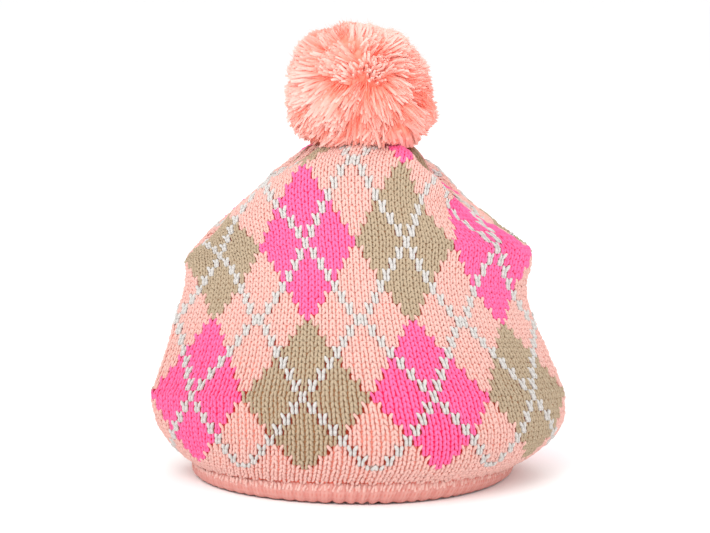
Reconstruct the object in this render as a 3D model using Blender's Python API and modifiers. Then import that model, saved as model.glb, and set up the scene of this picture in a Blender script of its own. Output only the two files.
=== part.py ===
"""Knitted tea cosy: a soft cover with a spout slit and a handle slit, gathered shut under a shaggy yarn pompom.

Sizes are in millimetres and become metres in the last step. +Z is up, the cover's front faces -Y, its spout slit
is at -X and its handle slit at +X. A place on the cloth is named by its knitted column (128 round the cover, with
column 0 left of the front's middle) and its knitted row, counted up from the stitching that holds the hem.
"""

import math
import random
from dataclasses import astuple, dataclass

import bmesh
import bpy
import numpy as np
from mathutils import Vector
from mathutils.bvhtree import BVHTree

MM = 0.001
SEED = 7

# The knitting
FRONT_COLUMN = 8.0  # runs up the middle of the front
SPOUT_COLUMN = -24.0
HANDLE_COLUMN = 40.0
HALF_ROUND = 32.0  # columns from the front's middle to either slit
HEM_ROW = -4.0  # the folded lower edge
STITCHED_ROW = 0.0
COLUMN_PITCH = 3.3
ROW_PITCH = 2.35

# The cloth
CLOTH_THICKNESS = 3.0
HEM_THICKNESS = 6.0  # two layers
HEM_FADE_ROWS = 3.0  # over which the thickness falls to one layer's
HEM_BULGE = 1.6
STITCHED_DIP = 1.2
DIP_ROWS_SQUARED = 3.0  # how wide the dip along the stitching is
BACK_DEPTH_SHARE = 0.98

# The slits
SLIT_FULLNESS = 0.7  # 1 opens like a sine wave, less opens sooner at its ends

# The mesh
# (columns or rows, segments) from one line to the next; the mesh is closer where the cloth is folded
COLUMN_LINES = ((-24.0, 0), (16.0, 16), (40.0, 16))
ROW_LINES = ((-4.0, 0), (0.0, 3), (51.0, 17), (84.0, 14))
ARC_STEPS = 160
WELD = 0.05

# The gathers round the top
PLEATS = 16
PLEAT_HEIGHT = 1.1
PLEAT_ROWS = (64.0, 77.0, 84.0)  # where the pleats start, stand highest and end

# The pompom
POMPOM_CENTRE = (2.5, 0.0, 189.0)
POMPOM_RADII = (36.0, 34.5, 29.5)
CORE_SHARE = 0.70
SEAT_RADIUS = 9.0  # of the patch on which the core rests
CORE_GAP = 0.5
LOCK_INSET = 0.5
LOCK_GROWTH = 1.2  # a tip's width, as a share of its root's
LOCK_LENGTH_SPREAD = 0.05
LOCK_LEAN = 1.2
LOCK_CLEARANCE = 2.2  # over the cover
LOWER_FULLNESS = 0.22  # how much longer the locks are towards the cover
SHORTEST_LOCK = 0.82  # as a share of the way out
REACH_STEP = 0.02

# The yarns
COVER_COLOUR = (0.90, 0.55, 0.49)
POMPOM_COLOUR = (1.0, 0.46, 0.36)
YARN_ROUGHNESS = 0.9


@dataclass(frozen=True)
class Section:
    """The cloth at one knitted row: a ring that is level at the front and sags towards the two slits."""

    row: float
    height: float  # at the middle of the front
    left: float  # reach towards the spout
    right: float  # reach towards the handle
    depth: float  # reach to the front
    point_left: float  # 1 is round at the slit, 2 comes to a point
    point_right: float
    lean: float  # X of the front's middle column
    spread: float  # 0 is even stitches, 1 has them all drawn to the slits
    sag_left: float
    sag_right: float


SECTIONS = (
    #       row  height left   right  depth pt_l  pt_r  lean spread sag_l sag_r
    Section(-4.0, 0.0, 77.5, 78.0, 70.5, 1.00, 1.00, 4.0, 0.00, 0.0, 0.0),
    Section(0.0, 9.5, 79.5, 80.0, 73.5, 1.00, 1.00, 6.0, 0.00, 3.0, 3.5),
    Section(4.0, 18.5, 85.0, 88.0, 78.5, 1.20, 1.15, 9.0, 0.00, 8.5, 8.0),
    Section(12.0, 34.0, 94.5, 98.5, 83.0, 1.60, 1.45, 10.0, -0.05, 13.5, 13.5),
    Section(20.0, 52.0, 99.0, 101.5, 82.0, 1.85, 1.70, 7.5, -0.10, 15.5, 14.0),
    Section(28.0, 70.5, 98.5, 97.0, 77.0, 1.95, 1.70, 4.5, -0.12, 13.5, 13.5),
    Section(36.0, 87.5, 95.5, 91.0, 70.0, 1.95, 1.65, 2.5, -0.12, 12.0, 15.0),
    Section(44.0, 105.0, 88.5, 86.0, 61.5, 1.90, 1.70, 1.0, -0.12, 14.0, 16.0),
    Section(52.0, 123.0, 79.5, 84.0, 51.5, 1.75, 1.75, 0.0, -0.08, 19.5, 13.5),
    Section(60.0, 141.0, 74.5, 71.0, 41.0, 1.50, 1.60, -1.5, 0.02, 29.0, 21.5),
    Section(68.0, 157.0, 62.0, 58.5, 30.0, 1.25, 1.35, -1.0, 0.25, 32.0, 27.5),
    Section(76.0, 163.5, 40.5, 42.0, 18.0, 1.05, 1.10, 3.0, 0.40, 17.5, 17.0),
    Section(80.0, 165.0, 24.0, 29.0, 10.0, 1.00, 1.00, 3.0, 0.40, 5.5, 5.5),
    Section(84.0, 165.0, -2.5, 2.5, 0.0, 1.00, 1.00, 2.5, 0.40, 0.0, 0.0),
)


@dataclass(frozen=True)
class Slit:
    """An opening along one column, pushed open by what comes out of it."""

    column: float
    low_row: float
    high_row: float
    half_width: float


SPOUT_SLIT = Slit(SPOUT_COLUMN, 21.0, 51.0, 13.0)
HANDLE_SLIT = Slit(HANDLE_COLUMN, 21.0, 51.0, 10.0)


@dataclass(frozen=True)
class Fold:
    """A soft ridge, or a trough where its height is negative, between two places on the cloth."""

    start: tuple[float, float]  # column, row
    end: tuple[float, float]
    height: float
    half_width: float


FOLDS = (
    Fold((23.5, 77.0), (38.0, 60.0), -11.0, 10.0),  # the deep fold from the pompom to the handle
    Fold((17.0, 71.0), (31.0, 56.0), 2.5, 9.0),  # the roll of cloth in front of it
    Fold((34.5, 54.0), (37.5, 49.0), 3.0, 9.0),  # cloth pushed out over the handle's upper root
    Fold((-22.5, 52.5), (-21.5, 49.0), 3.0, 9.0),  # cloth pushed out over the spout's upper root
    Fold((-14.0, 78.0), (-22.0, 64.0), -6.0, 9.0),  # a shallower fold from the pompom to the spout
    Fold((-7.0, 75.0), (-14.0, 64.0), 1.5, 8.0),
    Fold((52.0, 74.0), (46.0, 60.0), -3.0, 10.0),
    Fold((86.0, 76.0), (94.0, 62.0), -3.0, 10.0),
)


def smooth_table(rows: np.ndarray, values: np.ndarray, row: float) -> np.ndarray:
    """Values of a table between its rows, on a smooth curve through all of them."""
    slopes = np.gradient(values, rows, axis=0)
    low = int(np.clip(np.searchsorted(rows, row) - 1, 0, len(rows) - 2))
    step = rows[low + 1] - rows[low]
    t = (row - rows[low]) / step
    return (
        (2 * t**3 - 3 * t**2 + 1) * values[low]
        + (t**3 - 2 * t**2 + t) * step * slopes[low]
        + (3 * t**2 - 2 * t**3) * values[low + 1]
        + (t**3 - t**2) * step * slopes[low + 1]
    )


def section_at(row: float) -> Section:
    """The cloth's ring at any knitted row."""
    table = np.array([astuple(section) for section in SECTIONS])
    values = smooth_table(table[:, 0], table[:, 1:], row)
    return Section(row, *(float(value) for value in values))


def slit_gap(slit: Slit, row: float) -> float:
    """How far the slit's edge stands from the middle plane at this row."""
    share = (row - slit.low_row) / (slit.high_row - slit.low_row)
    if not 0.0 < share < 1.0:
        return 0.0
    return slit.half_width * math.sin(math.pi * share) ** SLIT_FULLNESS


def slit_angle(gap: float, depth: float, point: float) -> float:
    """The ring's angle, from the front, at which it meets a slit's edge."""
    if depth <= gap:
        return math.pi / 2
    return math.acos((gap / depth) ** (1.0 / point))


def front_row(row: float, turns: np.ndarray) -> np.ndarray:
    """Points of the front half at one row, for turns from -1 at the spout to 1 at the handle."""
    ring = section_at(row)
    left_end = slit_angle(slit_gap(SPOUT_SLIT, row), ring.depth, ring.point_left)
    right_end = slit_angle(slit_gap(HANDLE_SLIT, row), ring.depth, ring.point_right)
    left = np.linspace(-left_end, 0.0, ARC_STEPS + 1)
    right = np.linspace(0.0, right_end, ARC_STEPS + 1)[1:]
    across = np.concatenate([(ring.left + ring.lean) * np.sin(left), (ring.right - ring.lean) * np.sin(right)])
    toward = np.concatenate([np.cos(left) ** ring.point_left, np.cos(right) ** ring.point_right])
    sag = np.concatenate([ring.sag_left * np.sin(left) ** 2, ring.sag_right * np.sin(right) ** 2])
    curve = np.stack([ring.lean + across, -ring.depth * toward, ring.height - sag], axis=1)
    length = np.concatenate([[0.0], np.cumsum(np.linalg.norm(np.diff(curve, axis=0), axis=1))])
    drawn = turns * (1.0 + ring.spread * (1.0 - np.abs(turns)))
    middle = length[ARC_STEPS]
    at = middle + np.where(drawn < 0.0, drawn * middle, drawn * (length[-1] - middle))
    return np.stack([np.interp(at, length, curve[:, axis]) for axis in range(3)], axis=1)


def hem_profile(row: float) -> float:
    """How far the doubled hem swells out, and its stitching draws in."""
    if row < STITCHED_ROW:
        return HEM_BULGE * math.sin(math.pi * (STITCHED_ROW - row) / (STITCHED_ROW - HEM_ROW))
    return -STITCHED_DIP * math.exp(-((row - STITCHED_ROW) ** 2) / DIP_ROWS_SQUARED)


def pleat_relief(column: float, row: float) -> float:
    """The gathers round the top."""
    start, crest, end = PLEAT_ROWS
    rise = np.interp(row, (start, crest, end), (0.0, 1.0, 0.0))
    return PLEAT_HEIGHT * float(rise) * math.cos(2 * math.pi * PLEATS * column / (4 * HALF_ROUND))


def fold_relief(fold: Fold, column: float, row: float) -> float:
    """One fold's height at a place on the cloth."""
    size = np.array([COLUMN_PITCH, ROW_PITCH])
    start = np.array(fold.start) * size
    along = np.array(fold.end) * size - start
    place = np.array([column, row]) * size - start
    share = float(np.clip(place @ along / (along @ along), 0.0, 1.0))
    distance = float(np.linalg.norm(place - share * along))
    return fold.height * math.exp(-((distance / fold.half_width) ** 2))


def relief(column: float, row: float) -> float:
    """How far the cloth stands out from its plain drape, in millimetres."""
    folds = sum(fold_relief(fold, column, row) for fold in FOLDS)
    return folds + pleat_relief(column, row) + hem_profile(row)


def new_material(name: str, colour: tuple[float, float, float]) -> bpy.types.Material:
    """A plain yarn material."""
    material = bpy.data.materials.new(name)
    material.use_nodes = True
    shader = material.node_tree.nodes["Principled BSDF"]
    shader.inputs["Base Color"].default_value = (*colour, 1.0)
    shader.inputs["Roughness"].default_value = YARN_ROUGHNESS
    return material


def new_object(name: str, bm: bmesh.types.BMesh, material: bpy.types.Material) -> bpy.types.Object:
    """An object in the cosy's collection, made from a bmesh in millimetres."""
    bmesh.ops.scale(bm, vec=(MM, MM, MM), verts=bm.verts)
    mesh = bpy.data.meshes.new(name)
    bm.to_mesh(mesh)
    bm.free()
    mesh.materials.append(material)
    mesh.shade_smooth()
    obj = bpy.data.objects.new(name, mesh)
    bpy.data.collections["tea_cosy"].objects.link(obj)
    return obj


def mesh_lines(table: tuple[tuple[float, int], ...]) -> np.ndarray:
    """The columns or rows on which the mesh has a line."""
    lines = [np.array([table[0][0]])]
    for (start, _), (end, segments) in zip(table, table[1:]):
        lines.append(np.linspace(start, end, segments + 1)[1:])
    return np.concatenate(lines)


def add_panel(bm: bmesh.types.BMesh, back: bool) -> None:
    """One half of the cover, as a grid laid on the drape. Each point keeps its column and row."""
    column_layer = bm.verts.layers.float["column"]
    row_layer = bm.verts.layers.float["row"]
    columns = mesh_lines(COLUMN_LINES)
    rows = mesh_lines(ROW_LINES)
    made = bmesh.ops.create_grid(bm, x_segments=len(columns) - 1, y_segments=len(rows) - 1, size=1.0)
    turns = (columns - FRONT_COLUMN) / HALF_ROUND
    places = [front_row(row, turns) for row in rows]
    for vert in made["verts"]:
        across = round((vert.co.x + 1.0) / 2.0 * (len(columns) - 1))
        up = round((vert.co.y + 1.0) / 2.0 * (len(rows) - 1))
        x, y, z = places[up][across]
        vert.co = (x, -y * BACK_DEPTH_SHARE, z) if back else (x, y, z)
        vert[column_layer] = 2 * HANDLE_COLUMN - columns[across] if back else columns[across]
        vert[row_layer] = rows[up]


def build_cover(material: bpy.types.Material) -> bpy.types.Object:
    """The knitted cover: two panels welded at the sides and the top, raised into folds, then thickened."""
    bm = bmesh.new()
    column_layer = bm.verts.layers.float.new("column")
    row_layer = bm.verts.layers.float.new("row")
    add_panel(bm, back=False)
    add_panel(bm, back=True)
    bmesh.ops.remove_doubles(bm, verts=bm.verts, dist=WELD)
    bmesh.ops.recalc_face_normals(bm, faces=bm.faces)
    bm.normal_update()
    raised = [(vert, vert.co + vert.normal * relief(vert[column_layer], vert[row_layer])) for vert in bm.verts]
    for vert, place in raised:
        vert.co = place
    bm.verts.index_update()
    rows = {vert.index: vert[row_layer] for vert in bm.verts}
    cover = new_object("knitted_cover", bm, material)
    thicken(cover, rows)
    return cover


def thicken(cover: bpy.types.Object, rows: dict[int, float]) -> None:
    """Gives the cloth its thickness inwards, with the hem twice as thick and its underside flat."""
    group = cover.vertex_groups.new(name="hem")
    for index, row in rows.items():
        share = float(np.interp(row, (STITCHED_ROW, STITCHED_ROW + HEM_FADE_ROWS), (1.0, 0.0)))
        group.add([index], share, "REPLACE")
    solidify = cover.modifiers.new("cloth", "SOLIDIFY")
    solidify.thickness = HEM_THICKNESS * MM
    solidify.offset = -1.0
    solidify.vertex_group = group.name
    solidify.thickness_vertex_group = CLOTH_THICKNESS / HEM_THICKNESS
    graph = bpy.context.evaluated_depsgraph_get()
    solid = bpy.data.meshes.new_from_object(cover.evaluated_get(graph))
    for vert, knitted in zip(solid.vertices, solid.attributes["row"].data):
        if knitted.value == HEM_ROW:
            vert.co.z = 0.0
    cover.modifiers.clear()
    cover.data = solid


def cover_tree(cover: bpy.types.Object) -> BVHTree:
    """The cover's faces, for looking up the cloth under a lock of the pompom."""
    corners = [vert.co.copy() for vert in cover.data.vertices]
    return BVHTree.FromPolygons(corners, [tuple(face.vertices) for face in cover.data.polygons])


def height_over(cover: BVHTree, place: Vector) -> float:
    """The height of the cloth under a place, in millimetres."""
    hit = cover.ray_cast(Vector((place.x * MM, place.y * MM, 1.0)), Vector((0.0, 0.0, -1.0)))[0]
    return hit.z / MM if hit else 0.0


def on_pompom(outward: Vector, reach: float) -> Vector:
    """A place in the pompom, by its direction and its share of the way out."""
    return Vector(POMPOM_CENTRE) + Vector(tuple(outward[axis] * POMPOM_RADII[axis] * reach for axis in range(3)))


def full_reach(outward: Vector) -> float:
    """The pompom's outline: an oval that is fuller below, where its yarn is pressed down on the cover."""
    return 1.0 + LOWER_FULLNESS * max(0.0, -outward.z)


def lock_reach(cover: BVHTree, outward: Vector, wanted: float) -> float:
    """The share of the way out at which a lock ends, shorter where the cover is in its way."""
    reach = wanted
    while reach > CORE_SHARE:
        tip = on_pompom(outward, reach)
        if tip.z > height_over(cover, tip) + LOCK_CLEARANCE:
            break
        reach -= REACH_STEP
    return reach


def build_pompom(material: bpy.types.Material, cover: BVHTree) -> bpy.types.Object:
    """The pompom: a core with a three-sided lock of yarn standing out of each of its faces but the lowest."""
    rng = random.Random(SEED)
    bm = bmesh.new()
    bmesh.ops.create_icosphere(bm, subdivisions=3, radius=1.0)
    bm.normal_update()
    outward_of = {}
    for face in bm.faces:
        outward = face.calc_center_median().normalized()
        if lock_reach(cover, outward, full_reach(outward)) > SHORTEST_LOCK:
            outward_of[face] = outward
    for vert in bm.verts:
        vert.co = on_pompom(vert.co, CORE_SHARE)
    roots = list(outward_of)
    bmesh.ops.inset_individual(bm, faces=roots, thickness=LOCK_INSET, use_even_offset=True)
    locks = bmesh.ops.extrude_discrete_faces(bm, faces=roots)["faces"]
    for lock, outward in zip(locks, outward_of.values()):
        middle = lock.calc_center_median()
        wanted = full_reach(outward) + rng.uniform(-LOCK_LENGTH_SPREAD, LOCK_LENGTH_SPREAD)
        lean = Vector(tuple(rng.uniform(-LOCK_LEAN, LOCK_LEAN) for _ in range(3)))
        tip = on_pompom(outward, lock_reach(cover, outward, wanted)) + lean
        for vert in lock.verts:
            vert.co = tip + (vert.co - middle) * LOCK_GROWTH
    for vert in bm.verts:
        seated = math.hypot(vert.co.x - POMPOM_CENTRE[0], vert.co.y - POMPOM_CENTRE[1]) < SEAT_RADIUS
        gap = CORE_GAP if seated else LOCK_CLEARANCE
        vert.co.z = max(vert.co.z, height_over(cover, vert.co) + gap)
    return new_object("pompom", bm, material)


def centre_on_origin(objects: list[bpy.types.Object]) -> None:
    """Moves the cosy sideways so that its box is centred over the origin, with its hem at height zero."""
    corners = np.array([vert.co for obj in objects for vert in obj.data.vertices])
    middle = (corners.min(axis=0) + corners.max(axis=0)) / 2.0
    shift = Vector((-middle[0], -middle[1], 0.0))
    for obj in objects:
        for vert in obj.data.vertices:
            vert.co += shift


def main() -> None:
    """Clears the scene and builds the cosy."""
    for obj in list(bpy.data.objects):
        bpy.data.objects.remove(obj)
    collection = bpy.data.collections.new("tea_cosy")
    bpy.context.scene.collection.children.link(collection)
    cover = build_cover(new_material("cover_yarn", COVER_COLOUR))
    pompom = build_pompom(new_material("pompom_yarn", POMPOM_COLOUR), cover_tree(cover))
    centre_on_origin([cover, pompom])


main()
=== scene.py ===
"""Knitted tea cosy: an argyle cover of single knitted stitches with a turned hem, under a shaggy yarn pompom.

Sizes are in millimetres until a mesh is made, and then in metres. +Z is up and the cover's front faces -Y.
A place on the cloth is named by its knitted column (120 round the cover, the middle of the front between
columns 7 and 8) and its knitted row, counted up from the stitching that holds the hem.
"""

import logging
import math
from dataclasses import astuple, dataclass, replace
from enum import Enum

import bmesh
import bpy
import numpy as np
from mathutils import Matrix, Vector, noise
from mathutils.bvhtree import BVHTree

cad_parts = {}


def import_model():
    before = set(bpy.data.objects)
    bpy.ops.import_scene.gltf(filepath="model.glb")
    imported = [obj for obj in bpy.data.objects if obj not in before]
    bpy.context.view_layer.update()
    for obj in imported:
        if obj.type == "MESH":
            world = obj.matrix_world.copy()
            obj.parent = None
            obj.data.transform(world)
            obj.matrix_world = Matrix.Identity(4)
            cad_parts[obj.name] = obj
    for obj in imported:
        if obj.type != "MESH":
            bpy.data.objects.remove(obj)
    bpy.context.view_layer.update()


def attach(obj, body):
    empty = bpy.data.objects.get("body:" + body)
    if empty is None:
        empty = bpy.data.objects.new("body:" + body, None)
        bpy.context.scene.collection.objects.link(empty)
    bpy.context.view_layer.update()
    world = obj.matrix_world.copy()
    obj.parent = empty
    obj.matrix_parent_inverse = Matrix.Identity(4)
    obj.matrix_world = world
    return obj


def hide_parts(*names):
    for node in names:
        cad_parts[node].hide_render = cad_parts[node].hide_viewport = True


LOG = logging.getLogger("tea_cosy")
MM = 0.001
BODY = "root"
COVER_NODE = "knitted_cover"
POMPOM_NODE = "pompom"

# The knitting, in columns and rows
FRONT_COLUMN = 7.5  # the middle of the front
SPOUT_COLUMN = -22.5  # where the spout's slit is, and the handle's
HANDLE_COLUMN = 37.5
HALF_ROUND = 30.0  # from the middle of the front to a slit
COLUMNS_ROUND = 120
HEM_ROW = -4.0  # the lower edge
TOP_ROW = 72.0  # the gathered end
SLIT_ROWS = (18.3, 45.6)
COLUMN_PITCH = 3.52  # of one column and one row, in millimetres
ROW_PITCH = 2.7
CENTRE_SHIFT = (-1.13, 0.832, 0.0)  # from the drape's own middle to the middle of the cosy's box

# The chart that is the cloth's UV map
CHART_FIRST_ROW = -12.0
CHART_ROWS = 100.0

# Names of what is stored on the meshes
UV, OUTWARD, PITCH, GROUND = "chart", "outward", "pitch", "ground"
ALONG, AROUND, SHADE, LIFT, FLARE = "along", "around", "shade", "lift", "flare"


def linear(colour: str) -> tuple[float, float, float, float]:
    """Turns a colour to the linear values that a shader takes.

    Args:
        colour: six sRGB hex digits after a #.

    Returns:
        Linear red, green, blue and an alpha of 1.
    """
    channels = [int(colour[i : i + 2], 16) / 255 for i in (1, 3, 5)]
    return (*(c / 12.92 if c <= 0.04045 else ((c + 0.055) / 1.055) ** 2.4 for c in channels), 1.0)


# ---------------------------------------------------------------- node trees and meshes


@dataclass(frozen=True)
class Wire:
    """A node's output, on which sums are written as in plain code."""

    nodes: "Nodes"
    socket: bpy.types.NodeSocket

    def __add__(self, other: object) -> "Wire":
        """The sum."""
        return self.nodes.calc("ADD", self, other)

    def __sub__(self, other: object) -> "Wire":
        """The difference."""
        return self.nodes.calc("SUBTRACT", self, other)

    def __mul__(self, other: object) -> "Wire":
        """The product, or a vector scaled by a number."""
        return self.nodes.calc("MULTIPLY", self, other)

    def __truediv__(self, other: object) -> "Wire":
        """The quotient."""
        return self.nodes.calc("DIVIDE", self, other)

    def __pow__(self, other: object) -> "Wire":
        """The power."""
        return self.nodes.calc("POWER", self, other)

    def beside(self, out: str) -> "Wire":
        """Another output of the same node."""
        return Wire(self.nodes, self.socket.node.outputs[out])


@dataclass
class Nodes:
    """A node tree in the making."""

    tree: bpy.types.NodeTree

    def feed(self, socket: bpy.types.NodeSocket, value: object) -> None:
        """Feeds an input.

        Args:
            socket: the input.
            value: a node's output, a colour's hex digits or a plain value.
        """
        if isinstance(value, Wire):
            self.tree.links.new(value.socket, socket)
        else:
            socket.default_value = linear(value) if str(value).startswith("#") else value

    def add(
        self, kind: str, feeds: dict[str | int, object] | None = None, out: str | int = 0, **settings: object
    ) -> Wire:
        """Adds a node.

        Args:
            kind: the node's type.
            feeds: what feeds each input, by the input's name or number.
            out: the output that is wanted, by its name or number.
            settings: the node's own properties.

        Returns:
            That output.
        """
        node = self.tree.nodes.new(kind)
        for name, value in settings.items():
            setattr(node, name, value)
        for key, value in (feeds or {}).items():
            self.feed(node.inputs[key], value)
        return Wire(self, node.outputs[out])

    def calc(self, operation: str, *values: object) -> Wire:
        """Adds a step of arithmetic, on vectors where any of its values is one.

        Args:
            operation: what is done.
            values: outputs, numbers or, for vectors, rows of three numbers.

        Returns:
            The result.
        """
        vectors = [isinstance(v, tuple) or isinstance(v, Wire) and v.socket.type == "VECTOR" for v in values]
        if not any(vectors):
            return self.add("ShaderNodeMath", dict(enumerate(values)), operation=operation)
        if operation == "MULTIPLY" and not vectors[1]:
            return self.add("ShaderNodeVectorMath", {0: values[0], "Scale": values[1]}, operation="SCALE")
        return self.add("ShaderNodeVectorMath", dict(enumerate(values)), operation=operation)

    def ridges(self, place: Wire) -> Wire:
        """Round ridges from 0 to 1, one for each whole number of the place."""
        return self.calc("ABSOLUTE", self.calc("SINE", place * math.pi))


class Paint(Nodes):
    """A material in the making."""

    def __init__(self, name: str) -> None:
        """Starts a material of this name."""
        self.material = bpy.data.materials.new(name)
        self.material.use_nodes = True
        super().__init__(self.material.node_tree)

    def mottle(self, scale: float, detail: float) -> Wire:
        """Soft random patches, so many to a metre and this finely broken up."""
        place = self.add("ShaderNodeTexCoord", out="Object")
        return self.add("ShaderNodeTexNoise", {"Vector": place, "Scale": scale, "Detail": detail}, "Fac")

    def raise_by(self, height: Wire, depth: float, strength: float = 0.8) -> None:
        """Gives the surface a relief of this height, and this depth in millimetres."""
        bump = self.add("ShaderNodeBump", {"Strength": strength, "Distance": depth * MM, "Height": height})
        self.feed(self.tree.nodes["Principled BSDF"].inputs["Normal"], bump)

    def dress(
        self, colour: object, roughness: float, specular: float, sheen: float = 0.0
    ) -> bpy.types.Material:
        """Sets the shader.

        Args:
            colour: a node's output or hex digits.
            roughness: the surface's roughness.
            specular: the level of its reflection.
            sheen: the weight of its loose fibres.

        Returns:
            The finished material.
        """
        names = ("Base Color", "Roughness", "Specular IOR Level", "Sheen Weight")
        for name, value in zip(names, (colour, roughness, specular, sheen)):
            self.feed(self.tree.nodes["Principled BSDF"].inputs[name], value)
        return self.material


class Grower(Nodes):
    """A Geometry Nodes tree in the making, with named inputs for its sizes."""

    def __init__(self, name: str, inputs: dict[str, str]) -> None:
        """Starts the tree.

        Args:
            name: the tree's name.
            inputs: the kind of socket for each named input, after the mesh.
        """
        super().__init__(bpy.data.node_groups.new(name, "GeometryNodeTree"))
        for label, kind in ({"Geometry": "Geometry"} | inputs).items():
            self.tree.interface.new_socket(label, in_out="INPUT", socket_type=f"NodeSocket{kind}")
        self.tree.interface.new_socket("Geometry", in_out="OUTPUT", socket_type="NodeSocketGeometry")
        entry = self.tree.nodes.new("NodeGroupInput")
        self.entry = {socket.name: Wire(self, socket) for socket in entry.outputs}
        self.leave = self.tree.nodes.new("NodeGroupOutput")

    def keep(self, geometry: Wire, values: dict[str, Wire]) -> Wire:
        """Stores values on the geometry.

        Args:
            geometry: the geometry.
            values: for each name, what is stored under it.

        Returns:
            The geometry with them.
        """
        for name, value in values.items():
            kind = "FLOAT_VECTOR" if value.socket.type == "VECTOR" else "FLOAT"
            feeds = {"Geometry": geometry, "Name": name, "Value": value}
            geometry = self.add("GeometryNodeStoreNamedAttribute", feeds, data_type=kind)
        return geometry

    def kept(self, kind: str, *names: str) -> list[Wire]:
        """What the geometry stores under these names, all of one kind."""
        source = "GeometryNodeInputNamedAttribute"
        return [self.add(source, {"Name": name}, data_type=kind) for name in names]

    def run(self, obj: bpy.types.Object, values: dict[str, object]) -> None:
        """Runs the tree on an object, and keeps what it makes as the object's plain mesh.

        Args:
            obj: the object whose mesh goes in.
            values: the tree's named inputs.
        """
        modifier = obj.modifiers.new(self.tree.name, "NODES")
        modifier.node_group = self.tree
        for item in self.tree.interface.items_tree:
            if item.in_out == "INPUT" and item.name in values:
                modifier[item.identifier] = values[item.name]
        settle(obj)


def settle(obj: bpy.types.Object) -> None:
    """Makes what an object's modifiers give its plain mesh, with its attributes.

    Args:
        obj: the object, which is left without modifiers.
    """
    bpy.context.view_layer.update()
    graph = bpy.context.evaluated_depsgraph_get()
    made = obj.evaluated_get(graph)
    obj.data = bpy.data.meshes.new_from_object(made, preserve_all_data_layers=True, depsgraph=graph)
    obj.modifiers.clear()


def new_object(name: str, mesh: bpy.types.Mesh, *materials: bpy.types.Material) -> bpy.types.Object:
    """Puts a mesh in the scene.

    Args:
        name: the object's name.
        mesh: its mesh.
        materials: the mesh's materials.

    Returns:
        The object.
    """
    for material in materials:
        mesh.materials.append(material)
    obj = bpy.data.objects.new(name, mesh)
    bpy.context.scene.collection.objects.link(obj)
    return obj


def new_mesh(name: str, points: np.ndarray, faces: np.ndarray) -> bpy.types.Mesh:
    """Makes a mesh.

    Args:
        name: its name.
        points: its points, one row for each.
        faces: the numbers of each face's points, one row for each.

    Returns:
        The mesh.
    """
    mesh = bpy.data.meshes.new(name)
    mesh.from_pydata(points.tolist(), [], faces.tolist())
    return mesh


def report(piece: bpy.types.Object) -> bpy.types.Object:
    """Logs a finished piece, and hands it on."""
    LOG.info("%s: %d triangles", piece.name, sum(len(face.vertices) - 2 for face in piece.data.polygons))
    return piece


def store(mesh: bpy.types.Mesh, name: str, kind: str, values: np.ndarray, domain: str = "POINT") -> None:
    """Keeps numbers on a mesh as an attribute.

    Args:
        mesh: the mesh.
        name: the attribute's name.
        kind: FLOAT, FLOAT_VECTOR or FLOAT_COLOR.
        values: one row for each point or face.
        domain: what the rows belong to.
    """
    key = {"FLOAT": "value", "FLOAT_VECTOR": "vector", "FLOAT_COLOR": "color"}[kind]
    flat = np.ascontiguousarray(values, np.float32).ravel()
    mesh.attributes.new(name, kind, domain).data.foreach_set(key, flat)


def store_chart(mesh: bpy.types.Mesh, chart: np.ndarray) -> None:
    """Keeps the chart as the mesh's UV map.

    Args:
        mesh: the mesh.
        chart: one place of the chart for each point.
    """
    corners = np.array([loop.vertex_index for loop in mesh.loops])
    mesh.uv_layers.new(name=UV).data.foreach_set("uv", chart[corners].astype(np.float32).ravel())


def grid_faces(lines: int, points: int, closed: bool = False) -> np.ndarray:
    """The corners of each face of a grid whose rows of points follow one another.

    Args:
        lines: how many rows of points there are.
        points: how many points a row has.
        closed: whether a row's last point is joined to its first.

    Returns:
        Four corner numbers for each face.
    """
    across = np.arange(points if closed else points - 1)
    starts = np.arange(lines - 1)[:, None] * points
    first, second = (starts + across).ravel(), (starts + (across + 1) % points).ravel()
    return np.stack([first, second, second + points, first + points], axis=1)


def unit(vectors: np.ndarray) -> np.ndarray:
    """The vectors, each made one long."""
    return vectors / np.linalg.norm(vectors, axis=-1)[..., None]


# ---------------------------------------------------------------- the drape


@dataclass(frozen=True)
class Section:
    """The cloth at one knitted row: a ring that is level at the front and sags towards the two slits."""

    row: float
    height: float
    left: float
    right: float
    depth: float
    point_left: float
    point_right: float
    lean: float
    spread: float
    sag_left: float
    sag_right: float


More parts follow.
